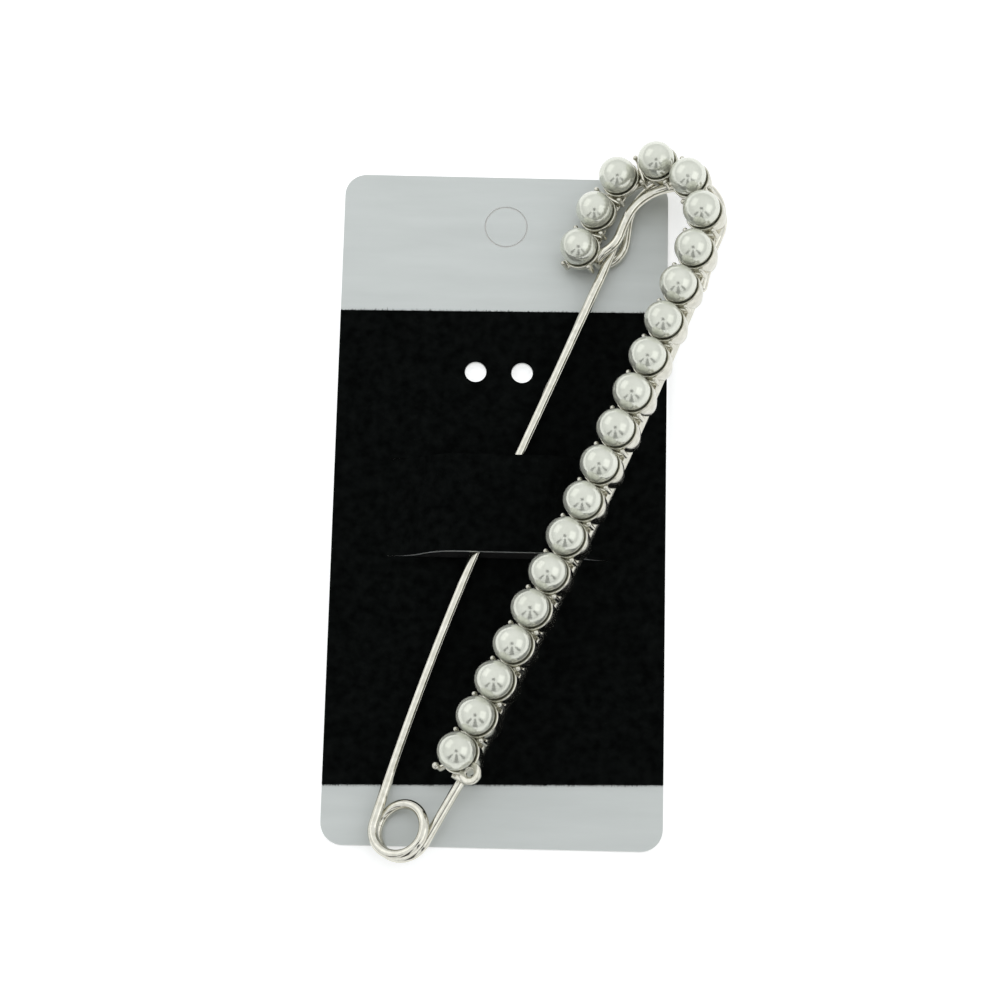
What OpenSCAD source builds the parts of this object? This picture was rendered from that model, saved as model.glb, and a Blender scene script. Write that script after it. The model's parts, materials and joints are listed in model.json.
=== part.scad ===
// Safety pin brooch set with a row of pearls, held on its display card.
// Millimetres, +Z up. The card's back lies on the plane z = 0, its top edge points to +Y.
// The origin is on the card's back, on its centre line, level with the two earring holes.
// The brooch is drawn flat in its own plane round the centre of its spring coil, and seated on the card.

/* [Card] */
// Width of the card
card_w = 53; // [50:0.5:58]
// Length of the card
card_l = 110.5; // [104:0.5:118]
// Thickness of the board
card_t = 0.6; // [0.4:0.1:0.9]
// Radius of the card's corners
corner_r = 3.5; // [2:0.5:6]
// Distance from the card's top edge to the earring holes
holes_drop = 33.6; // [30:0.2:37]
// Distance between the two earring holes
hole_pitch = 7.5; // [6:0.5:9]
// Diameter of an earring hole
hole_d = 3.4; // [2.6:0.2:4.2]
// Distance of the earring holes to the left of the card's centre line
hole_shift = 0.6; // [0:0.1:1.5]
// Diameter of the half-cut disc that the card hangs by
hang_d = 7.1; // [6:0.1:9]
// Distance from the card's top edge to the centre of the disc
hang_drop = 8.6; // [7:0.2:12]
// Width of the cut round the disc
hang_cut = 0.25; // [0.15:0.05:0.4]

/* [Velvet panel] */
// Thickness of the velvet layer
velvet_t = 0.35; // [0.2:0.05:0.6]
// Bare length of the card above the velvet
header_l = 23.3; // [21:0.1:25]
// Bare length of the card below the velvet
footer_l = 9.9; // [8:0.1:12]
// Angle by which the velvet's upper edge is out of square
header_skew = 0.7; // [0:0.1:1.5]
// Angle by which the velvet's lower edge is out of square
footer_skew = 1.2; // [0:0.1:1.5]
// Gap left for the glue under the velvet
glue_gap = 0.02; // [0.01:0.01:0.05]

/* [Strap cut in the card] */
// Length of the two slits
slit_l = 35; // [32:0.5:38]
// Width of a slit
slit_w = 0.25; // [0.2:0.05:0.5]
// Overhang of the velvet's pile over each edge of a slit
pile_over = 0.1; // [0.05:0.01:0.15]
// Distance from the card's top edge to the upper slit
strap_drop = 48.6; // [48:0.1:49.2]
// Width of the strap between the slits
strap_w = 15.8; // [14:0.2:17]
// Length of the slope at each end of the strap
strap_slope = 11; // [9:0.5:15]

/* [Wire] */
// Diameter of the pin's wire
wire_d = 1.6; // [1.4:0.05:1.7]
// Diameter of the spring coil, to the middle of the wire
coil_d = 8.3; // [7.6:0.1:9.2]
// Gap between turns of the coil
turn_gap = 0.08; // [0.05:0.01:0.15]
// Angle at which the arm leaves the coil
arm_lean = 7.6; // [7:0.1:8.2]
// Radius of the arm's bow next to the coil
bow_r = 447; // [430:1:465]
// Length of the arm's straight stretch, without the point
arm_straight = 37; // [34:0.5:38]
// Length of the tapered point
point_l = 9; // [6:0.5:10]
// Diameter at the end of the point
point_d = 0.4; // [0.2:0.05:0.8]
// Angle at which the spine leaves the coil
spine_lean = 7; // [6:0.1:8]
// Length of bare spine between the coil and the first pearl
shank_l = 14.4; // [13.6:0.1:15.2]

/* [Row of pearls] */
// Diameter of a pearl
pearl_d = 6; // [5.6:0.1:6]
// Number of pearls up the straight side
row_pearls = 15;
// Distance between the first two pearls
foot_pitch = 6.16; // [6.12:0.01:6.3]
// Distance between the last two pearls of the straight side
head_pitch = 6.49; // [6.4:0.01:6.6]
// Bearing of the row at its foot, to the right of the arm
foot_bearing = 3.96; // [3.4:0.01:4.4]
// Angle by which the row bends to the left on its way up
row_turn = 6.29; // [5.6:0.01:7]
// Distance between pearls round the crook
crook_pitch = 6.86; // [6.7:0.01:7]
// Bearing from each pearl of the crook to the next, to the left of the arm
crook_bearings = [12.7, 44.4, 77.2, 127.7, 169.9, 181.6];

/* [Setting] */
// Height of the pearls' centres above the middle of the spine wire
seat_h = 6; // [5.8:0.1:6.4]
// Distance from a pearl's centre down to the rim of its cup
rim_drop = 1.4; // [1.2:0.1:1.8]
// Wall of a cup at its rim
rim_wall = 0.48; // [0.35:0.01:0.6]
// Gap between a pearl and its cup
seat_gap = 0.05; // [0.03:0.01:0.1]
// Diameter of a cup's foot
cup_foot_d = 4.5; // [4.2:0.1:5.4]
// Width of the rail that joins the cups
rail_w = 3.4; // [2.4:0.1:3.8]
// Height of the rail
rail_h = 1.8; // [1.4:0.1:2]
// Width of the web between two cups
web_w = 2.4; // [1.8:0.1:3]
// Height above the spine at which the last three cups start
crook_base_h = 2.35; // [2.3:0.01:2.4]
// Diameter of a prong
prong_d = 0.84; // [0.6:0.02:1]
// Distance between the two prongs at a neck
prong_span = 4.8; // [4.6:0.1:5.2]
// Distance from a pearl's centre down to the head of a prong
prong_drop = 0.9; // [0.6:0.1:1.2]
// Height of a prong from the underside of its bar to the middle of its head
prong_h = 2; // [1.6:0.1:2.2]
// Height of the bar that two prongs stand on
bar_h = 0.8; // [0.6:0.1:1]
// Diameter of the ear at the foot of the row
ear_d = 3.6; // [3.4:0.1:4]
// Diameter of the hole in the ear
ear_hole_d = 1.3; // [1:0.1:1.5]
// Thickness of the ear
ear_t = 0.8; // [0.6:0.1:1]

/* [Catch] */
// Straight length of the spine between the last pearl of the row and the crown
crown_rise = 5.3; // [5:0.1:5.6]
// Radius of the crown
crown_r = 8; // [7.9:0.05:8.1]
// Height of the crown's far side, under the arm's point
under_h = 0.5; // [0.4:0.05:0.6]
// Height between the middles of the lower and the upper strand
strand_gap = 3.75; // [3.6:0.05:4]
// Straight length between the crown and the hook under the arm's point
hook_feed = 3.1; // [2.9:0.05:3.3]
// Bend radius of the hook
hook_r = 4.4; // [4.2:0.05:4.6]
// Angle by which the hook turns in under the arm
hook_bend = 53.7; // [50:0.1:56]
// Straight length after the turn over the arm
back_feed = 0.75; // [0.6:0.05:1]
// Angle by which the upper strand turns back up
back_bend = 39.5; // [36:0.1:42]
// Straight length at each end of the dipping strand
dip_feed = 1.6; // [1.4:0.1:1.8]
// Angle of the dip on both sides of the top
dip = 7; // [5:0.1:9]
// Bend radius of the dip
dip_r = 6; // [5:0.1:7]
// Radius of the upper strand on the arm's side
far_r = 8.6; // [8.4:0.05:8.8]
// Straight length of the strand that runs back down beside the row
tail_l = 3.6; // [2:0.2:5]
// Distance of that strand to the right of the spine
tail_side = 0.9; // [0.8:0.05:1.1]
// Height of that strand above the spine
tail_h = 1.3; // [1.2:0.05:1.5]
// Angle by which the tail bends in towards the row
tail_bend = 12; // [8:0.5:14]
// Bend radius of the tail
tail_r = 16; // [14:0.5:20]

/* [Seat on the card] */
// Heading of the brooch on the card, to the right of the card's length
heading = 22.8; // [22:0.1:23.6]
// Roll that lifts the row above the arm
roll = 24.7; // [23:0.1:26]
// Pitch that lifts the crook above the card
pitch = 1.47; // [1.45:0.01:1.8]
// Distance of the coil's centre to the left of the card's centre line
coil_side = 13.44; // [13:0.05:14]
// Distance from the card's top edge down to the coil's centre
coil_drop = 108.6; // [108:0.1:109]
// Gap between the coil and the card
coil_gap = 0.05; // [0.03:0.01:0.2]
// Angle by which the arm can be pressed towards the spine
press_angle = 1; // [0.5:0.1:1.2]
// Gap between the strap and the arm pressed in
strap_gap = 0.12; // [0.1:0.01:0.3]

/* [Hidden] */
$fn = 48;
pad = 0.5;
top_y = holes_drop;
strap_y = top_y - strap_drop - strap_w;
coil_r = coil_d / 2;
lead = wire_d + turn_gap;
// One half turn of the coil drops by half the lead, because its plane is tilted by this angle
tilt = asin(lead / 2 / coil_d);
last_sweep = 180 - arm_lean - spine_lean;
arm_h = lead + lead / 4 * (1 - cos(last_sweep));
arm_x = -coil_r * cos(arm_lean) - bow_r * (1 - cos(arm_lean));
coil_gap_angle = turn_gap / coil_r * 180 / PI;
level_roll = atan2(cos(tilt), -sin(tilt) * cos(last_sweep));
level_angle = asin(sin(tilt) * sin(last_sweep));
level_r = 30;
shank_r = 20;
shank_bend = spine_lean - foot_bearing;
shank_bend_l = shank_r * tan(shank_bend / 2);

rail_z = wire_d / 4;
cup_foot_h = 0.4;
rim_z = seat_h - rim_drop;
seat_r = pearl_d / 2 + seat_gap;
rim_r = sqrt(seat_r * seat_r - rim_drop * rim_drop) + rim_wall;
bar_z = seat_h - prong_drop - prong_h;
ear_side = pearl_d / 2;
ear_drop = pearl_d / 3;
// A ball a hair thicker than the wire closes the seam between two stretches
joint_d = wire_d * 1.02;

velvet_hole_extra = 0.1;

pearl_count = row_pearls + len(crook_bearings);
row_l = row_s(row_pearls - 1);
row_r = row_l * 180 / PI / row_turn;
foot = [
    coil_r * cos(spine_lean) + shank_l * sin(spine_lean),
    -coil_r * sin(spine_lean) + shank_l * cos(spine_lean)
];
crown_x = row_xy(row_pearls - 1)[0];
// The crown climbs to its far side; the strand back over the point dips and sinks to the tail
inner_tilt = asin(under_h / 2 / crown_r);
near_r = crown_x + tail_side - arm_x - 0.5 - far_r;
outer_tilt = asin((under_h + strand_gap - tail_h - 0.1 - (far_r - near_r) * sin(dip))
    / (far_r + near_r));

// Wire forms: each row is [feed, roll of the bending plane, bend radius, bend angle to the left]
FRAME_WIRE = [
    [0, -tilt, coil_r, last_sweep - coil_gap_angle],
    [0, level_roll, level_r, level_angle],
    [shank_l - level_r * level_angle * PI / 180 - shank_bend_l, -90, shank_r, shank_bend],
    [0, 0, row_r, row_turn],
    [crown_rise, inner_tilt, crown_r, 195],
    [hook_feed, inner_tilt, hook_r, -hook_bend],
    [0, 90, strand_gap / 2, 180],
    [back_feed, 90, hook_r, back_bend],
    [dip_feed, -90, dip_r, dip],
    [dip_feed / 2, 90 + outer_tilt, far_r, -90],
    [0, 0, near_r, -90],
    [0, -outer_tilt - 90, dip_r, dip],
    [dip_feed, 90, tail_r, tail_bend],
    [tail_l, 0, 0, 0]
];
ARM_WIRE = [
    [arm_straight, 0, bow_r, arm_lean],
    [0, -tilt, coil_r, 180],
    [0, -2 * tilt, coil_r, 180]
];

// Beads at the two ends of the row: each row is [pearl, angle, distance from the pearl's
// centre in pearl diameters, head in prong diameters]
END_BEADS = [
    [0, 228, 0.69, 1.4],
    [pearl_count - 1, 240, 0.6, 1],
    [pearl_count - 1, 317, 0.64, 1]
];

function pearl_name(i) = str("pearl_", i < 10 ? "0" : "", i);

// Distance of pearl i up the straight side of the row, measured along the spine
function row_s(i) =
    i * foot_pitch + (head_pitch - foot_pitch) * i * (i - 1) / 2 / (row_pearls - 2);

// Bearing of the spine at distance s up the row, to the right
function row_bearing(s) = foot_bearing - s / row_r * 180 / PI;

function row_xy(i) =
    let (b = row_bearing(row_s(i)))
    foot + row_r * [cos(b) - cos(foot_bearing), sin(foot_bearing) - sin(b)];

// Centre of pearl i in the brooch's plane: up the straight side, then round the crook
function pearl_xy(i) =
    i < row_pearls
        ? row_xy(i)
        : pearl_xy(i - 1) + crook_pitch * [-sin(crook_bearing(i)), cos(crook_bearing(i))];

// Height at which the setting under pearl i starts: the last three sit higher, clear of the card
function base_z(i) = i < pearl_count - 3 ? rail_z : crook_base_h;

function crook_bearing(i) = crook_bearings[i - row_pearls];

// Length and direction of the neck before pearl i
function neck_len(i) = norm(pearl_xy(i) - pearl_xy(i - 1));

function neck_angle(i) =
    let (v = pearl_xy(i) - pearl_xy(i - 1))
    atan2(v[1], v[0]);

// Rise of the strap at distance x from the card's centre line: flat, with two equal arcs a slope
function strap_arc_r() = (pow(strap_slope, 2) + pow(strap_rise, 2)) / 4 / strap_rise;

function strap_z(x) =
    let (r = strap_arc_r(), u = slit_l / 2 - abs(x))
    u <= 0 ? 0
        : u >= strap_slope ? strap_rise
        : u < strap_slope / 2 ? r - sqrt(r * r - u * u)
        : strap_rise - r + sqrt(r * r - pow(strap_slope - u, 2));

// Height of the top of the arm at distance y up it, pressed in as far as it goes
function arm_top(y) =
    coil_z + sin(pitch) * y
    + cos(pitch) * (sin(roll) * (arm_x + y * sin(press_angle)) + cos(roll) * arm_h)
    + wire_d / 2 / cos(roll);

coil_z = card_t + coil_gap + wire_d / 2
    + coil_r * sin(roll) - (arm_h - lead) * cos(roll);
// Distance up the arm at which it passes the strap's upper edge
arm_side = arm_x * cos(roll) - arm_h * sin(roll);
strap_top_on_arm = (coil_drop - strap_drop + arm_side * sin(heading)) / cos(heading);
strap_rise = arm_top(strap_top_on_arm) + strap_gap;

// Puts what is drawn in the brooch's own plane in its place on the card
module seated() {
    translate([-coil_side, top_y - coil_drop, coil_z])
        rotate([0, 0, -heading])
            rotate([pitch, 0, 0])
                rotate([0, -roll, 0])
                    children();
}

// One stretch of wire: a straight feed, then an arc
module wire_stretch(row) {
    if (row[0] > 0) cylinder(d = wire_d, h = row[0]);
    if (row[3] != 0)
        translate([0, 0, row[0]])
            rotate([0, 0, row[1] + (row[3] < 0 ? 180 : 0)])
                translate([row[2], 0, 0])
                    rotate([90, 0, 180])
                        rotate_extrude(angle = abs(row[3]), $fn = 180)
                            translate([row[2], 0]) circle(d = wire_d, $fn = 48);
}

// Moves what follows to the end of one stretch of wire
module after_stretch(row) {
    side = row[3] < 0 ? 180 : 0;
    translate([0, 0, row[0]])
        rotate([0, 0, row[1] + side])
            translate([row[2], 0, 0])
                rotate([0, abs(row[3]), 0])
                    translate([-row[2], 0, 0])
                        rotate([0, 0, -side])
                            children();
}

// A bent wire: stretch after stretch, with children at its far end
module bent_wire(rows, i = 0) {
    if (i < len(rows)) {
        wire_stretch(rows[i]);
        after_stretch(rows[i]) {
            if (i < len(rows) - 1) sphere(d = joint_d);
            bent_wire(rows, i + 1) children();
        }
    } else {
        children();
    }
}

// Turns +Z, the way a wire is fed, to a bearing in the brooch's plane
module feed_to(bearing) {
    rotate([0, 0, -bearing])
        rotate([-90, 0, 0])
            rotate([0, 0, 180])
                children();
}

module strap_outline(z0, thickness) {
    half = slit_l / 2 + pad;
    xs = [for (k = [-32:32]) half * k / 32];
    polygon(concat(
        [for (x = xs) [x, z0 + strap_z(x)]],
        [for (k = [len(xs) - 1:-1:0]) [xs[k], z0 + thickness + strap_z(xs[k])]]
    ));
}

// A layer of the strap, bowed up over the arm
module strap(z0, thickness) {
    translate([0, strap_y + strap_w, 0])
        rotate([90, 0, 0])
            linear_extrude(strap_w) strap_outline(z0, thickness);
}

module strap_window(slit) {
    translate([-slit_l / 2, strap_y - slit]) square([slit_l, strap_w + 2 * slit]);
}

module earring_holes(extra = 0) {
    for (side = [-1, 1])
        translate([side * hole_pitch / 2 - hole_shift, 0]) circle(d = hole_d + extra);
}

module card_outline() {
    w = card_w / 2 - corner_r;
    low = top_y - card_l + corner_r;
    high = top_y - corner_r;
    for (x = [-w, w], y = [low, high])
        translate([x, y]) circle(r = corner_r);
    translate([-card_w / 2, low]) square([card_w, high - low]);
    translate([-w, low - corner_r]) square([2 * w, card_l]);
}

module card() {
    color("silver") {
        difference() {
            linear_extrude(card_t)
                difference() {
                    card_outline();
                    strap_window(slit_w);
                    earring_holes();
                }
            translate([0, top_y - hang_drop, card_t / 2])
                linear_extrude(card_t)
                    difference() {
                        circle(d = hang_d);
                        circle(d = hang_d - 2 * hang_cut);
                    }
        }
        strap(0, card_t);
    }
}

// The velvet's outline: the card's full width between two edges that are a little out of square
module velvet_outline() {
    half = card_w / 2;
    high = top_y - header_l;
    low = top_y - card_l + footer_l;
    polygon([
        [-half, low - half * tan(footer_skew)],
        [half, low + half * tan(footer_skew)],
        [half, high + half * tan(header_skew)],
        [-half, high - half * tan(header_skew)]
    ]);
}

module velvet_panel() {
    z0 = card_t + glue_gap;
    color("black") {
        translate([0, 0, z0])
            linear_extrude(velvet_t)
                difference() {
                    velvet_outline();
                    strap_window(slit_w - pile_over);
                    earring_holes(velvet_hole_extra);
                }
        strap(z0, velvet_t);
    }
}

// Room for a pearl in what stands round its lower third
module pearl_seat() {
    translate([0, 0, seat_h]) sphere(r = seat_r);
}

// A cup that holds the lower third of a pearl, on a foot that starts at height z0
module cup(z0) {
    difference() {
        rotate_extrude()
            polygon([
                [0, z0], [cup_foot_d / 2, z0], [cup_foot_d / 2 + 0.1, z0 + cup_foot_h],
                [rim_r - 0.25, rim_z - 1.6], [rim_r - 0.05, rim_z - 0.8],
                [rim_r, rim_z - 0.3], [rim_r, rim_z], [0, rim_z]
            ]);
        pearl_seat();
    }
}

// A round head on a thin stem that starts at height z0
module prong(z0, head_d = prong_d) {
    translate([0, 0, z0]) cylinder(d = prong_d * 0.9, h = seat_h - prong_drop - z0, $fn = 24);
    translate([0, 0, seat_h - prong_drop]) sphere(d = head_d, $fn = 24);
}

// The neck before pearl i: the rail, the web between the cups, and a bar with its two prongs
module neck(i) {
    span = neck_len(i);
    z0 = max(base_z(i - 1), base_z(i));
    h = min(rail_h, seat_h - pearl_d / 2 - 0.1 - z0);
    from = pearl_xy(i - 1);
    translate([from[0], from[1], 0])
        rotate([0, 0, neck_angle(i)]) {
            translate([0, -rail_w / 2, z0]) cube([span, rail_w, h]);
            translate([(span - prong_d) / 2, -web_w / 2, z0])
                cube([prong_d, web_w, bar_z + bar_h - 0.1 - z0]);
            translate([(span - prong_d) / 2, -prong_span / 2, bar_z])
                cube([prong_d, prong_span, bar_h]);
            for (side = [-1, 1])
                translate([span / 2, side * prong_span / 2, 0]) prong(bar_z);
        }
}

// A bead on a short arm at an end of the row
module end_bead(row) {
    xy = pearl_xy(row[0]);
    reach = row[2] * pearl_d;
    translate([xy[0], xy[1], 0])
        difference() {
            rotate([0, 0, row[1]]) {
                translate([cup_foot_d / 2, -prong_d / 2, bar_z])
                    cube([reach - cup_foot_d / 2, prong_d, bar_h]);
                translate([reach, 0, 0]) prong(bar_z, row[3] * prong_d);
            }
            pearl_seat();
        }
}

// The flat ear with a hole at the foot of the row, and the block that the spine enters
module foot_ear() {
    ear_z = rim_z - ear_t;
    block_l = 0.3 * pearl_d;
    translate([foot[0], foot[1], 0])
        rotate([0, 0, -foot_bearing]) {
            translate([-wire_d * 5 / 8, -block_l * 2, -rail_z / 2])
                cube([wire_d * 5 / 4, block_l * 1.1, rail_z * 1.5 + rail_h]);
            difference() {
                translate([ear_side, -ear_drop, ear_z]) cylinder(d = ear_d, h = ear_t);
                translate([ear_side + 0.1, -ear_drop, ear_z - pad])
                    cylinder(d = ear_hole_d, h = ear_t + 2 * pad, $fn = 24);
                pearl_seat();
            }
        }
}

module setting() {
    for (i = [0:pearl_count - 1])
        translate([pearl_xy(i)[0], pearl_xy(i)[1], 0]) cup(base_z(i));
    for (i = [1:pearl_count - 1]) neck(i);
    for (row = END_BEADS) end_bead(row);
    foot_ear();
}

// Spine, crown and catch in one bent wire, with the cast setting soldered along it
module pin_frame() {
    start = 180 + arm_lean + coil_gap_angle;
    color("gainsboro")
        seated() {
            translate([coil_r * cos(start), coil_r * sin(start), arm_h - lead])
                feed_to(180 - arm_lean - coil_gap_angle)
                    bent_wire(FRAME_WIRE) sphere(d = joint_d);
            setting();
        }
}

// The sprung arm with its point and the upper turn of the coil
module pin_arm() {
    tip_y = -coil_r * sin(arm_lean) + bow_r * sin(arm_lean) + arm_straight;
    color("gainsboro")
        seated()
            translate([arm_x, tip_y, arm_h])
                feed_to(180) {
                    bent_wire(ARM_WIRE);
                    translate([0, 0, -point_l])
                        cylinder(d1 = point_d, d2 = wire_d, h = point_l);
                    translate([0, 0, -point_l]) sphere(d = point_d * 1.02);
                }
}

module pearl(i) {
    color("ivory")
        seated()
            translate([pearl_xy(i)[0], pearl_xy(i)[1], seat_h])
                sphere(d = pearl_d, $fn = 64);
}

card();
velvet_panel();
pin_frame();
pin_arm();
for (i = [1:pearl_count])
    pearl(i - 1);
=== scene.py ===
import json
import math
import random

import bmesh
import bpy
from mathutils import Matrix, Vector, noise


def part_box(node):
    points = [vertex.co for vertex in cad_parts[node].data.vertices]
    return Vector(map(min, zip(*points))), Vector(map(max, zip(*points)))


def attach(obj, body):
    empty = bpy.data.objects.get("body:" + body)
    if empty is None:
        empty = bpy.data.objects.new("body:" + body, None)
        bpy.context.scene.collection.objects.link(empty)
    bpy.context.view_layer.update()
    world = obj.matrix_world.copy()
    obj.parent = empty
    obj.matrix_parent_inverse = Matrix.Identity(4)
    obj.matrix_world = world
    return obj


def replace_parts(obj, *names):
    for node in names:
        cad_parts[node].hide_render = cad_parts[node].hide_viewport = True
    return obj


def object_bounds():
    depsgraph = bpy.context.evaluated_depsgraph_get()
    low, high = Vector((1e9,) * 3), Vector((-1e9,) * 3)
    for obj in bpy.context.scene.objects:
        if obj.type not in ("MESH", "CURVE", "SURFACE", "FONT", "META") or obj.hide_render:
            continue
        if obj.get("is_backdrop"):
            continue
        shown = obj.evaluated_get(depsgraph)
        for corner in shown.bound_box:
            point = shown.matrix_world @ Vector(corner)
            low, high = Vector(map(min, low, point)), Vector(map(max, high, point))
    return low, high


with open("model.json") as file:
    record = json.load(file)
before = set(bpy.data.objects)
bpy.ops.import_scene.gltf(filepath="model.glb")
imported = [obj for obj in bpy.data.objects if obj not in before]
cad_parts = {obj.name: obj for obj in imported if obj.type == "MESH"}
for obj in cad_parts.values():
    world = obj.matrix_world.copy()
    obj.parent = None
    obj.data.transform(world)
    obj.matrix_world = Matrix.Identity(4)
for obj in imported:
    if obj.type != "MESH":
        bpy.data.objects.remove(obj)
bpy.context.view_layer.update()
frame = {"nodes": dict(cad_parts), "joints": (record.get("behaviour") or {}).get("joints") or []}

MM = 0.001
BODY = "base"
rng = random.Random(7)


# Camera: nearly straight above, leaning towards the coil's end

CAM_PLACE = Vector((2.377, -136.295, 431.980)) * MM
CAM_ANGLES = [math.radians(a) for a in (14.936, -0.055, 1.348)]

cam = bpy.data.objects.new("camera", bpy.data.cameras.new("camera"))
cam.location = CAM_PLACE
cam.rotation_euler = CAM_ANGLES
cam.data.lens = 100.8
cam.data.sensor_width = 36
cam.data.clip_start = 0.01
cam.data.clip_end = 10
bpy.context.collection.objects.link(cam)
bpy.context.scene.camera = cam
bpy.context.scene.view_settings.view_transform = "Standard"


# Node materials

class Shader:
    """A node material built round one Principled shader."""

    def __init__(self, name, **sockets):
        self.mat = bpy.data.materials.new(name)
        self.mat.use_nodes = True
        self.tree = self.mat.node_tree
        self.bsdf = self.tree.nodes["Principled BSDF"]
        for key, value in sockets.items():
            self.bsdf.inputs[key].default_value = value
        self.coords = self.node("ShaderNodeTexCoord").outputs["Object"]

    def node(self, kind, inputs=None, **settings):
        """A new node; each input is a value or the socket that feeds it."""
        n = self.tree.nodes.new(kind)
        for key, value in settings.items():
            setattr(n, key, value)
        for key, value in (inputs or {}).items():
            if isinstance(value, bpy.types.NodeSocket):
                self.tree.links.new(value, n.inputs[key])
            else:
                n.inputs[key].default_value = value
        return n

    def noise(self, scale, detail=3.0, stretch=(1, 1, 1), roughness=0.5):
        """Fractal noise in the object's own coordinates."""
        mapped = self.node("ShaderNodeMapping", {"Vector": self.coords, "Scale": stretch})
        return self.node("ShaderNodeTexNoise", {
            "Vector": mapped.outputs["Vector"], "Scale": scale, "Detail": detail,
            "Roughness": roughness}).outputs["Fac"]

    def ramp(self, fac, *stops):
        """A colour by factor; each stop is a position and a colour."""
        n = self.node("ShaderNodeValToRGB", {"Fac": fac})
        while len(n.color_ramp.elements) < len(stops):
            n.color_ramp.elements.new(0.5)
        for element, (position, colour) in zip(n.color_ramp.elements, stops):
            element.position = position
            element.color = (*colour, 1)
        return n.outputs["Color"]

    def spread(self, fac, low, high):
        """A noise's usual range, 0.3 to 0.7, spread from low to high."""
        return self.node("ShaderNodeMapRange", {
            "Value": fac, "From Min": 0.3, "From Max": 0.7, "To Min": low, "To Max": high,
        }).outputs["Result"]

    def bump(self, height, distance, strength=1.0):
        """Relief in the shading only, its depth in metres."""
        n = self.node("ShaderNodeBump", {
            "Height": height, "Distance": distance, "Strength": strength})
        self.set("Normal", n.outputs["Normal"])

    def set(self, socket, source):
        """Feeds a socket of the shader from another node."""
        self.tree.links.new(source, self.bsdf.inputs[socket])


def plated_metal():
    """Rhodium-tone plating: mirror-like, faintly warm, with a slight orange peel and dull spots."""
    s = Shader("plated_metal", Metallic=1.0)
    s.set("Base Color", s.ramp(s.noise(900, 4), (0.3, (0.60, 0.58, 0.50)), (0.7, (0.74, 0.725, 0.65))))
    s.set("Roughness", s.spread(s.noise(2500, 5), 0.07, 0.15))
    s.bump(s.noise(1400, 3), 0.00001, 0.35)
    return s.mat


def cast_metal():
    """The same plating on the cast setting: softer and more uneven under its mirror."""
    s = Shader("cast_metal", Metallic=1.0)
    s.set("Base Color", s.ramp(s.noise(1100, 5), (0.3, (0.55, 0.535, 0.46)), (0.7, (0.70, 0.685, 0.61))))
    s.set("Roughness", s.spread(s.noise(800, 3), 0.14, 0.24))
    s.bump(s.noise(420, 2), 0.00002, 0.5)
    return s.mat


def pearl_lustre():
    """Imitation pearl: ivory body, lacquer with a soft mirror lustre, tiny pits and cloudiness."""
    s = Shader("pearl_lustre", Metallic=0.56, **{
        "Coat Weight": 0.35, "Coat Roughness": 0.04, "Coat IOR": 1.5, "IOR": 1.6})
    s.set("Base Color", s.ramp(s.noise(260, 3), (0.3, (0.64, 0.65, 0.57)), (0.7, (0.72, 0.73, 0.65))))
    s.set("Roughness", s.spread(s.noise(1500, 4), 0.10, 0.18))
    s.bump(s.noise(800, 5, roughness=0.6), 0.00005, 0.5)
    return s.mat


def silver_foil():
    """Satin silver face of the card, with faint streaks and fine grain, over its white paper core."""
    s = Shader("silver_foil")
    height = s.node("ShaderNodeSeparateXYZ", {"Vector": s.coords}).outputs["Z"]
    face = s.node("ShaderNodeMapRange", {
        "Value": height, "From Min": 0.00057, "From Max": 0.00059}).outputs["Result"]
    foil = s.ramp(s.noise(45, 4, (1, 8, 1)), (0.3, (0.555, 0.58, 0.565)), (0.7, (0.595, 0.62, 0.605)))
    mixed = s.node("ShaderNodeMixRGB", {"Fac": face, "Color1": (0.76, 0.76, 0.74, 1), "Color2": foil})
    s.set("Base Color", mixed.outputs["Color"])
    s.set("Metallic", s.node("ShaderNodeMath", {0: face, 1: 0.45}, operation="MULTIPLY").outputs["Value"])
    s.set("Roughness", s.spread(s.noise(500, 5, (1, 5, 1)), 0.36, 0.48))
    s.bump(s.noise(5000, 3), 0.00001, 0.4)
    return s.mat


def black_velvet():
    """Flocked velvet: almost black, a dense short pile with slightly ruffled patches."""
    s = Shader("black_velvet", Roughness=1.0, **{
        "Specular IOR Level": 0.0, "Sheen Weight": 0.02, "Sheen Roughness": 0.4})
    shade = s.ramp(s.noise(700, 6), (0.3, (0.0016, 0.0019, 0.0018)), (0.75, (0.0052, 0.006, 0.0057)))
    s.set("Base Color", shade)
    pile = s.node("ShaderNodeTexVoronoi", {"Vector": s.coords, "Scale": 9000.0}).outputs["Distance"]
    s.bump(pile, 0.00003, 0.25)
    return s.mat


def white_floor():
    """The white table, lit a little from below as a product photo's is."""
    s = Shader("white_floor", Roughness=0.7, **{
        "Emission Color": (1, 1, 1, 1), "Emission Strength": 0.28})
    s.set("Base Color", s.ramp(s.noise(30, 2), (0.3, (0.93, 0.93, 0.93)), (0.7, (0.95, 0.95, 0.95))))
    return s.mat


METAL = plated_metal()
CAST = cast_metal()
PEARL = pearl_lustre()
FOIL = silver_foil()
VELVET = black_velvet()


def dress(obj, material):
    """Gives an object one material in all its slots."""
    obj.data.materials.clear()
    obj.data.materials.append(material)


def piece(name, mesh, material, body=BODY, smooth=True):
    """A new piece that rides on a body."""
    obj = bpy.data.objects.new(name, mesh)
    bpy.context.collection.objects.link(obj)
    if smooth:
        mesh.polygons.foreach_set("use_smooth", [True] * len(mesh.polygons))
    dress(obj, material)
    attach(obj, body)
    return obj


# The brooch's own plane: x across, y up the arm, z out of the card

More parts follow.
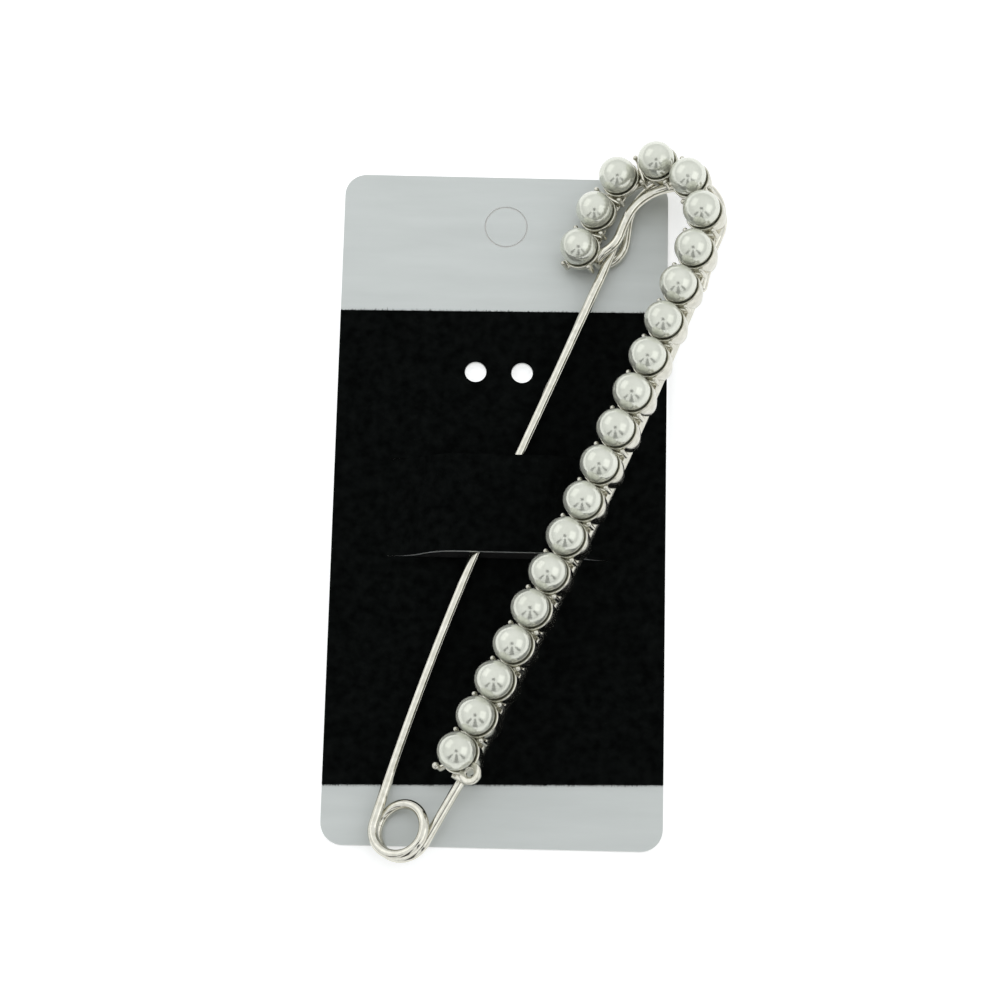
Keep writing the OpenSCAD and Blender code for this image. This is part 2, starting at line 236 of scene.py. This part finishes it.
HEADING, ROLL, PITCH = 22.8, 24.7, 1.47
ARM_LEAN, SPINE_LEAN = 7.6, 7.0
WIRE_D, COIL_R, TURN_GAP = 1.6, 4.15, 0.08
LEAD = WIRE_D + TURN_GAP
TILT = math.degrees(math.asin(LEAD / 4 / COIL_R))
LAST_SWEEP = 180 - ARM_LEAN - SPINE_LEAN
ARM_H = LEAD + LEAD / 4 * (1 - math.cos(math.radians(LAST_SWEEP)))
BOW_R, ARM_STRAIGHT, POINT_L, POINT_D = 447, 37, 9, 0.4
ARM_X = -COIL_R * math.cos(math.radians(ARM_LEAN)) - BOW_R * (1 - math.cos(math.radians(ARM_LEAN)))
TIP_Y = (BOW_R - COIL_R) * math.sin(math.radians(ARM_LEAN)) + ARM_STRAIGHT

hinge = frame["joints"][0]
UP = Vector(hinge["axis"]).normalized()
SEAT = (Matrix.Translation(Vector(hinge["pos_m"]))
        @ Matrix.Rotation(math.radians(-HEADING), 4, "Z")
        @ Matrix.Rotation(math.radians(PITCH), 4, "X")
        @ Matrix.Rotation(math.radians(-ROLL), 4, "Y")
        @ Matrix.Scale(MM, 4))


pearl_names = sorted(n for n in frame["nodes"] if n.startswith("pearl_"))
centres = []
for name in pearl_names:
    low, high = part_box(name)
    centres.append((Vector(low) + Vector(high)) / 2)
PEARL_R = 3.0
SEAT_H, RIM_DROP, RIM_WALL, SEAT_GAP = 6.0, 1.4, 0.48, 0.05
pearls = [SEAT.inverted() @ c for c in centres]


# Bent wires

def feed_to(x, y, z, bearing):
    """A wire's start: z is the way it is fed, y the normal of the brooch's plane."""
    a = math.radians(90 - bearing)
    way = Vector((math.cos(a), math.sin(a), 0))
    normal = Vector((0, 0, 1))
    side = normal.cross(way)
    m = Matrix((side, normal, way)).transposed().to_4x4()
    m.translation = (x, y, z)
    return m


def follow(m, rows, step=0.22):
    """Points along a wire bent by rows of feed, roll, bend radius and bend angle."""
    points = [m.translation.copy()]
    for feed, roll, radius, angle in rows:
        if feed:
            n = max(1, round(feed / 2.5))
            points += [m @ Vector((0, 0, feed * k / n)) for k in range(1, n + 1)]
            m = m @ Matrix.Translation((0, 0, feed))
        side = Matrix.Rotation(math.radians(0 if angle >= 0 else 180), 4, "Z")
        m = m @ Matrix.Rotation(math.radians(roll), 4, "Z") @ side
        out, back = Matrix.Translation((radius, 0, 0)), Matrix.Translation((-radius, 0, 0))
        turn = math.radians(abs(angle))
        n = max(2, round(radius * turn / (step if radius < 12 else 2.4)))
        for k in range(1, n + 1):
            points.append(m @ out @ Matrix.Rotation(turn * k / n, 4, "Y") @ back @ Vector((0, 0, 0)))
        m = m @ out @ Matrix.Rotation(turn, 4, "Y") @ back @ side
    return points


def tube(bm, points, radii, sides=20):
    """A round tube along points, its ring turned as little as it can, closed with a tip at each end."""
    ways = []
    for k in range(len(points)):
        a, b = points[max(0, k - 1)], points[min(len(points) - 1, k + 1)]
        ways.append((b - a).normalized())
    across = ways[0].orthogonal().normalized()
    rings = []
    for k, (p, way, r) in enumerate(zip(points, ways, radii)):
        if k:
            across = (ways[k - 1].rotation_difference(way) @ across)
            across = (across - way * across.dot(way)).normalized()
        other = way.cross(across)
        rings.append([bm.verts.new(p + r * (across * math.cos(t) + other * math.sin(t)))
                      for t in (2 * math.pi * j / sides for j in range(sides))])
    for a, b in zip(rings, rings[1:]):
        for j in range(sides):
            bm.faces.new((a[j], a[(j + 1) % sides], b[(j + 1) % sides], b[j]))
    for end, out in ((0, -1), (-1, 1)):
        ring = rings[end]
        tip = bm.verts.new(points[end] + out * ways[end] * radii[end] * 0.05)
        for j in range(sides):
            bm.faces.new((ring[j], ring[(j + 1) % sides], tip))


def rounded_end(points, radius, steps=6):
    """The points and radii that round off a wire's end."""
    way = (points[-1] - points[-2]).normalized()
    more = [points[-1] + way * radius * math.sin(math.pi / 2 * k / steps) for k in range(1, steps + 1)]
    radii = [radius * max(0.06, math.cos(math.pi / 2 * k / steps)) for k in range(1, steps + 1)]
    return more, radii


def to_mesh(bm, name, sharp=40):
    """Seats what was drawn in the brooch's own plane and makes a mesh of it."""
    for v in bm.verts:
        v.co = SEAT @ v.co
    bmesh.ops.recalc_face_normals(bm, faces=bm.faces)
    mesh = bpy.data.meshes.new(name)
    bm.to_mesh(mesh)
    bm.free()
    mesh.polygons.foreach_set("use_smooth", [True] * len(mesh.polygons))
    mesh.set_sharp_from_angle(angle=math.radians(sharp))
    return mesh


def arm_mesh():
    """The sprung arm: its tapered point, the bowed shaft and two half turns of the coil."""
    rows = [[ARM_STRAIGHT, 0, BOW_R, ARM_LEAN], [0, -TILT, COIL_R, 180], [0, -2 * TILT, COIL_R, 180]]
    way_down = feed_to(ARM_X, TIP_Y, ARM_H, 180)
    points, radii = [], []
    for k in range(13):
        t = k / 12
        points.append(Vector((ARM_X, TIP_Y + POINT_L * (1 - t), ARM_H)))
        radii.append((POINT_D + (WIRE_D - POINT_D) * t) / 2)
    shaft = follow(way_down, rows)[1:]
    bm = bmesh.new()
    tube(bm, points + shaft, radii + [WIRE_D / 2] * len(shaft))
    return to_mesh(bm, "pin_arm_wire")


def frame_wire_mesh():
    """The frame's wire: coil, shank, row, crown, hook, and the strand back over it to the tail."""
    row_n, first, last = 15, 6.16, 6.49
    row_l = (row_n - 1) * first + (last - first) * (row_n - 1) / 2
    row_turn, foot_bearing, shank_l, shank_r = 6.29, 3.96, 14.4, 20
    row_r = row_l / math.radians(row_turn)
    shank_bend = SPINE_LEAN - foot_bearing
    sweep, tilt = math.radians(LAST_SWEEP), math.radians(TILT)
    level_roll = math.degrees(math.atan2(math.cos(tilt), -math.sin(tilt) * math.cos(sweep)))
    level_r, level_angle = 30, math.degrees(math.asin(math.sin(tilt) * math.sin(sweep)))
    gap_angle = math.degrees(TURN_GAP / COIL_R)
    crown_rise, crown_r, crown_turn, under_h, strand_gap = 5.3, 8, 195, 0.5, 3.75
    hook_feed, hook_r, hook_bend, back_feed, back_bend = 3.1, 4.4, 53.7, 0.75, 39.5
    dip_feed, dip_r, dip, far_r = 1.6, 6, 7, 8.6
    tail_side, tail_h, tail_r, tail_bend, tail_l = 0.9, 1.3, 16, 12, 3.6
    near_r = pearls[row_n - 1].x + tail_side - ARM_X - 0.5 - far_r
    inner = math.degrees(math.asin(under_h / 2 / crown_r))
    outer = math.degrees(math.asin(
        (under_h + strand_gap - tail_h - 0.1 - (far_r - near_r) * math.sin(math.radians(dip)))
        / (far_r + near_r)))
    shank = (shank_l - level_r * math.radians(level_angle)
             - shank_r * math.tan(math.radians(shank_bend / 2)))
    rows = [
        [0, -TILT, COIL_R, LAST_SWEEP - gap_angle], [0, level_roll, level_r, level_angle],
        [shank, -90, shank_r, shank_bend], [0, 0, row_r, row_turn],
        [crown_rise, inner, crown_r, crown_turn], [hook_feed, inner, hook_r, -hook_bend],
        [0, 90, strand_gap / 2, 180], [back_feed, 90, hook_r, back_bend],
        [dip_feed, -90, dip_r, dip], [dip_feed / 2, 90 + outer, far_r, -90],
        [0, 0, near_r, -90], [0, -outer - 90, dip_r, dip],
        [dip_feed, 90, tail_r, tail_bend]]
    start = math.radians(180 + ARM_LEAN + gap_angle)
    m = feed_to(COIL_R * math.cos(start), COIL_R * math.sin(start), ARM_H - LEAD,
                180 - ARM_LEAN - gap_angle)
    points = follow(m, rows)
    way = (points[-1] - points[-2]).normalized()
    points += [points[-1] + way * tail_l * k / 2 for k in (1, 2)]
    more, ends = rounded_end(points, WIRE_D / 2)
    bm = bmesh.new()
    tube(bm, points + more, [WIRE_D / 2] * len(points) + ends)
    return to_mesh(bm, "pin_frame_wire")


# The setting: cups, webs, bars, prongs and the ear

SEAT_R = PEARL_R + SEAT_GAP
RIM_Z = SEAT_H - RIM_DROP
RIM_R = math.sqrt(SEAT_R ** 2 - RIM_DROP ** 2) + RIM_WALL
CUP_FOOT_R, RAIL_Z, CROOK_BASE_H, RAIL_W, RAIL_H = 2.25, 0.4, 2.35, 3.4, 1.8
BAR_Z, BAR_H, PRONG_D, PRONG_SPAN, PRONG_DROP, WEB_W = 3.1, 0.8, 0.84, 4.8, 0.9, 2.4
EAR_R, EAR_HOLE_R, EAR_T = 1.8, 0.65, 0.8
# Each end bead: pearl, angle, distance from the pearl's centre, head in prong diameters
END_BEADS = ((0, 228, 4.14, 1.4), (20, 240, 3.6, 1), (20, 317, 3.84, 1))


def base_z(i):
    """Height at which the setting under pearl i starts: the last three sit higher."""
    return RAIL_Z if i < len(pearls) - 3 else CROOK_BASE_H


def lathe(bm, profile, centre, sides=48):
    """Turns a profile of (radius, height) round the upright through centre."""
    rings = []
    for r, z in profile:
        if r == 0:
            rings.append([bm.verts.new((centre.x, centre.y, z))])
            continue
        rings.append([bm.verts.new((centre.x + r * math.cos(t), centre.y + r * math.sin(t), z))
                      for t in (2 * math.pi * j / sides for j in range(sides))])
    for a, b in zip(rings, rings[1:]):
        for j in range(sides):
            k = (j + 1) % sides
            corners = (a[j % len(a)], a[k % len(a)], b[k % len(b)], b[j % len(b)])
            corners = tuple(dict.fromkeys(corners))
            if len(corners) > 2:
                bm.faces.new(corners)
    return rings


def cup(bm, centre, z0):
    """A cast cup with a full belly and a rolled rim, hollowed to the pearl."""
    profile = [(0, z0), (CUP_FOOT_R - 0.1, z0), (CUP_FOOT_R, z0 + 0.1), (CUP_FOOT_R + 0.1, z0 + 0.4)]
    swell = RIM_R - 0.08 - CUP_FOOT_R - 0.1
    for t in (0.25, 0.5, 0.75, 1.0):
        z = z0 + 0.4 + (RIM_Z - 0.75 - z0 - 0.4) * t
        profile.append((CUP_FOOT_R + 0.1 + swell * math.sin(math.pi / 2 * t), z))
    lip = 0.17
    for k in range(9):
        a = math.radians(-60 + 24 * k)
        profile.append((RIM_R - lip + lip * math.cos(a), RIM_Z - lip + lip * math.sin(a)))
    top = math.asin(RIM_DROP * 1.18 / SEAT_R)
    for k in range(9):
        a = top + (math.pi / 2 - top) * k / 8
        profile.append((SEAT_R * math.cos(a) if k < 8 else 0, SEAT_H - SEAT_R * math.sin(a)))
    lathe(bm, profile, centre)


def block(bm, m, low, high, bevel=0.14):
    """A box with rounded edges between two corners, placed by a matrix."""
    made = bmesh.ops.create_cube(bm, size=1)["verts"]
    low, high = Vector(low), Vector(high)
    for v in made:
        v.co = Vector([low[k] + (v.co[k] + 0.5) * (high[k] - low[k]) for k in range(3)])
    edges = list(dict.fromkeys(e for v in made for e in v.link_edges))
    done = bmesh.ops.bevel(bm, geom=edges, offset=bevel, segments=3, profile=0.5, affect="EDGES")
    for v in {v for f in done["faces"] for v in f.verts}:
        v.co = m @ v.co


def head(bm, m, x, y, z0, size=1.0):
    """A round prong head on its thin stem."""
    top = SEAT_H - PRONG_DROP
    base = m @ Vector((x, y, 0))
    r, stem = size * PRONG_D / 2, PRONG_D * 0.42
    profile = [(0, z0), (stem, z0), (stem, top - r * 0.75)]
    for k in range(9):
        a = math.radians(-44 + 134 * k / 8)
        profile.append((r * math.cos(a) if k < 8 else 0, top + r * math.sin(a)))
    lathe(bm, profile, base, 20)


def neck(bm, i):
    """The neck before pearl i: rail, web, and a bar with its two prongs."""
    a, b = pearls[i - 1], pearls[i]
    way = Vector((b.x - a.x, b.y - a.y, 0))
    span = way.length
    z0 = max(base_z(i - 1), base_z(i))
    h = min(RAIL_H, SEAT_H - PEARL_R - 0.1 - z0)
    half = PRONG_D / 2
    m = Matrix.Translation((a.x, a.y, 0)) @ Matrix.Rotation(math.atan2(way.y, way.x), 4, "Z")
    block(bm, m, (1, -RAIL_W / 2, z0), (span - 1, RAIL_W / 2, z0 + h))
    block(bm, m, (span / 2 - half, -WEB_W / 2, z0), (span / 2 + half, WEB_W / 2, BAR_Z + BAR_H - 0.1))
    block(bm, m, (span / 2 - half, -PRONG_SPAN / 2 - 0.2, BAR_Z),
          (span / 2 + half, PRONG_SPAN / 2 + 0.2, BAR_Z + BAR_H), 0.25)
    for side in (-1, 1):
        head(bm, m, span / 2, side * PRONG_SPAN / 2, BAR_Z + 0.1)


def end_bead(bm, i, angle, reach, size):
    """A bead on a short arm at an end of the row."""
    p = pearls[i]
    m = Matrix.Translation((p.x, p.y, 0)) @ Matrix.Rotation(math.radians(angle), 4, "Z")
    block(bm, m, (CUP_FOOT_R, -PRONG_D / 2, BAR_Z), (reach + 0.2, PRONG_D / 2, BAR_Z + BAR_H), 0.25)
    head(bm, m, reach, 0, BAR_Z + 0.1, size)


def foot_ear(bm):
    """The flat ear with its hole, hollowed beside the pearl, and the block that the spine enters."""
    p = pearls[0]
    m = Matrix.Translation((p.x, p.y, 0)) @ Matrix.Rotation(math.radians(-3.96), 4, "Z")
    block(bm, m, (-1.0, -3.6, -0.2), (1.0, -1.62, 2.2), 0.2)
    outer, inner, t, e = EAR_R, EAR_HOLE_R, EAR_T, 0.25
    corners = ((outer - e, e, -90), (outer - e, t - e, 0), (inner + e, t - e, 90), (inner + e, e, 180))
    profile = []
    for cr, cz, a0 in corners:
        for k in range(4):
            a = math.radians(a0 + 30 * k)
            profile.append((cr + e * math.cos(a), RIM_Z - t + cz + e * math.sin(a)))
    profile.append(profile[0])
    rings = lathe(bm, profile, m @ Vector((3, -2, 0)))
    heart = Vector((p.x, p.y, SEAT_H))
    for v in {v for ring in rings for v in ring}:
        off = v.co - heart
        if off.length < SEAT_R:
            v.co = heart + off.normalized() * SEAT_R


def setting_mesh():
    """All that is soldered along the spine, in one mesh."""
    bm = bmesh.new()
    for i, p in enumerate(pearls):
        cup(bm, p, base_z(i))
    for i in range(1, len(pearls)):
        neck(bm, i)
    for row in END_BEADS:
        end_bead(bm, *row)
    foot_ear(bm)
    return to_mesh(bm, "setting_metal", 34)


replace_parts(piece("pin_arm_wire", arm_mesh(), METAL, "arm", False), "pin_arm")
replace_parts(piece("pin_frame_wire", frame_wire_mesh(), METAL, BODY, False), "pin_frame")
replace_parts(piece("setting_metal", setting_mesh(), CAST, BODY, False), "pin_frame")


# Pearls: turned beads with a glued drill hole underneath

def bead_mesh(name, centre, radius, seed):
    """A slightly uneven ball with the dimple of its drill hole on the underside."""
    bm = bmesh.new()
    bmesh.ops.create_icosphere(bm, subdivisions=4, radius=1)
    for v in bm.verts:
        d = v.co.normalized()
        swell = 1 + 0.004 * (noise.noise(d * 1.3 + Vector((seed, 0, 0))) - 0.2)
        down = -d.dot(UP)
        dimple = 0.10 * max(0, (down - 0.985) / 0.015)
        v.co = centre + d * radius * min(swell, 1) * (1 - dimple)
    mesh = bpy.data.meshes.new(name)
    bm.to_mesh(mesh)
    bm.free()
    return mesh


for i, (name, centre) in enumerate(zip(pearl_names, centres)):
    bead = piece(name + "_bead", bead_mesh(name, centre, PEARL_R * MM, 3.1 * i), PEARL)
    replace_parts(bead, name)


# CAD nodes that stay get their own material

nodes = frame["nodes"]
dress(nodes["card"], FOIL)
dress(nodes["velvet_panel"], VELVET)


# Loose pile along the velvet's cut edges

FIBRES = 1500
HALF_PANEL = 26.45 * MM
# Each edge: its height at the centre line, its tilt in degrees, and the way its fibres point
PANEL_EDGES = ((10.3 * MM, 0.7, 1), (-67.0 * MM, 1.2, -1))


def fringe_mesh(name):
    """Short fibres that stick out of the velvet's upper and lower edge."""
    bm = bmesh.new()
    half = HALF_PANEL
    for edge_y, tilt, way in PANEL_EDGES:
        for _ in range(FIBRES):
            x = rng.uniform(-half, half)
            y = edge_y + x * math.tan(math.radians(tilt))
            out = way * abs(rng.gauss(0, 0.16)) * MM
            lean, width = rng.gauss(0, 0.10) * MM, rng.uniform(0.03, 0.07) * MM
            z = rng.uniform(0.72, 0.96) * MM
            root = y - way * 0.12 * MM
            corners = [(x - width, root, z), (x + width, root, z), (x + lean, y + out, z - 0.04 * MM)]
            bm.faces.new([bm.verts.new((max(-half, min(half, a)), b, c)) for a, b, c in corners])
    mesh = bpy.data.meshes.new(name)
    bm.to_mesh(mesh)
    bm.free()
    return mesh


piece("velvet_fringe", fringe_mesh("velvet_fringe"), VELVET, BODY, False)


# Floor, lights and what the bright surfaces mirror

def flat_sheet(name, size_x, size_y, matrix, material, taper=1.0):
    """A thin sheet of the set; its +y edge is narrowed by taper."""
    bm = bmesh.new()
    bmesh.ops.create_grid(bm, x_segments=8, y_segments=8, size=0.5)
    for v in bm.verts:
        narrow = 1 + (taper - 1) * (v.co.y + 0.5)
        v.co = matrix @ Vector((v.co.x * size_x * narrow, v.co.y * size_y, 0))
    mesh = bpy.data.meshes.new(name)
    bm.to_mesh(mesh)
    bm.free()
    obj = bpy.data.objects.new(name, mesh)
    bpy.context.collection.objects.link(obj)
    dress(obj, material)
    obj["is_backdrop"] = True


FLOOR_SIZE, FLOOR_Z = 3.0, -0.00004
flat_sheet("floor", FLOOR_SIZE, FLOOR_SIZE, Matrix.Translation((0, 0, FLOOR_Z)), white_floor())


LIGHTS_AIM = Vector((0, -0.02, 0))


def softbox(name, place, size_x, size_y, power):
    """A rectangular area light that looks at the middle of the card."""
    light = bpy.data.lights.new(name, "AREA")
    light.shape = "RECTANGLE"
    light.size, light.size_y = size_x, size_y
    light.energy = power
    obj = bpy.data.objects.new(name, light)
    obj.location = place
    obj.rotation_euler = (LIGHTS_AIM - Vector(place)).to_track_quat("-Z", "Y").to_euler()
    bpy.context.collection.objects.link(obj)


softbox("soft_left", (-0.48, 0.34, 0.42), 0.60, 0.45, 0.32)
softbox("soft_right", (0.45, -0.10, 0.42), 0.44, 0.40, 0.24)


def tent_world():
    """A light tent: brightest overhead, a little darker towards the horizon."""
    world = bpy.data.worlds.new("tent")
    bpy.context.scene.world = world
    world.use_nodes = True
    tree = world.node_tree
    coords = tree.nodes.new("ShaderNodeTexCoord")
    parts = tree.nodes.new("ShaderNodeSeparateXYZ")
    height = tree.nodes.new("ShaderNodeMapRange")
    height.interpolation_type = "SMOOTHSTEP"
    height.inputs["From Min"].default_value = -0.05
    height.inputs["From Max"].default_value = 0.75
    height.inputs["To Min"].default_value = 0.80
    height.inputs["To Max"].default_value = 1.04
    tree.links.new(coords.outputs["Generated"], parts.inputs[0])
    tree.links.new(parts.outputs["Z"], height.inputs["Value"])
    background = tree.nodes["Background"]
    background.inputs["Color"].default_value = (0.97, 0.99, 1.0, 1)
    tree.links.new(height.outputs["Result"], background.inputs["Strength"])


tent_world()


def rig(name, shade):
    """The camera and its stand, which the pearls and the wire mirror as a dark dot and marks; the black
    one also colours the sheet of painted shade under the card's strap.
    """
    s = Shader(name, Roughness=0.9)
    s.set("Base Color", s.ramp(s.noise(20, 2), (0.3, (shade,) * 3), (0.7, (shade * 2,) * 3)))
    return s.mat


look = Matrix.Translation(CAM_PLACE) @ cam.rotation_euler.to_matrix().to_4x4()
RIG_BLACK_AND_PAINTED_SHADE, RIG_GREY = rig("rig_black_and_painted_shade", 0.01), rig("rig_grey", 0.05)
BEHIND_LENS = Matrix.Translation((0, 0, 0.012))
# Painted shade: a black sheet lies on the table under the card's strap, in place of the shadow that falls
# in the gap there
flat_sheet("painted_shade_under_strap", 0.0362, 0.0172, Matrix.Translation((0, -0.0229, -0.00002)), RIG_BLACK_AND_PAINTED_SHADE)
flat_sheet("camera_front", 0.14, 0.13, look @ BEHIND_LENS, RIG_BLACK_AND_PAINTED_SHADE)
# Each wedge: name, angle, nearest and farthest reach from the lens, and its spread in degrees
for name, angle, near, far, spread in (("stand_middle", 0, 0.15, 1.30, 26),
                                       ("stand_left", -47, 0.24, 1.10, 15),
                                       ("stand_right", 47, 0.24, 1.10, 15)):
    width = 2 * far * math.tan(math.radians(spread / 2))
    place = (look @ BEHIND_LENS @ Matrix.Rotation(math.radians(angle), 4, "Z")
             @ Matrix.Translation((0, -(near + far) / 2, 0)))
    flat_sheet(name, width, far - near, place, RIG_GREY, near / far)

low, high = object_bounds()
